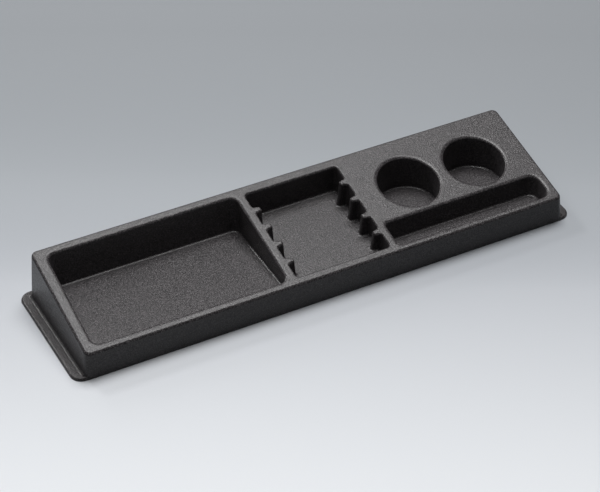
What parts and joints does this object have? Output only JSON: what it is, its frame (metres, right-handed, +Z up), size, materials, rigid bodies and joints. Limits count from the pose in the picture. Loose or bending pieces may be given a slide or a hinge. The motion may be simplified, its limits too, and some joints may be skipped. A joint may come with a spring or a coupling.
{
  "type": "car dashboard tray",
  "caption": "Long wedge-shaped dashboard tray in moulded plastic with a large bin, a ribbed cassette rack, a pen slot, cup wells and end flanges on fixing tape.",
  "frame": {"origin": "middle of the footprint, flanges included, on the plane that the tray stands on", "axes": "+X along the length, from the large bin to the cup wells; +Y from the low front to the high back; +Z up"},
  "size_m": [0.609, 0.157, 0.0624],
  "materials": {
    "shell": "fine hair-cell grain, satin",
    "foam_tape": "closed-cell foam",
    "liner": "siliconed film"
  },
  "bodies": {
    "root": {"tray_shell": "shell", "left_foam_tape": "foam_tape", "right_foam_tape": "foam_tape", "left_release_liner": "liner", "right_release_liner": "liner"}
  },
  "joints": []
}
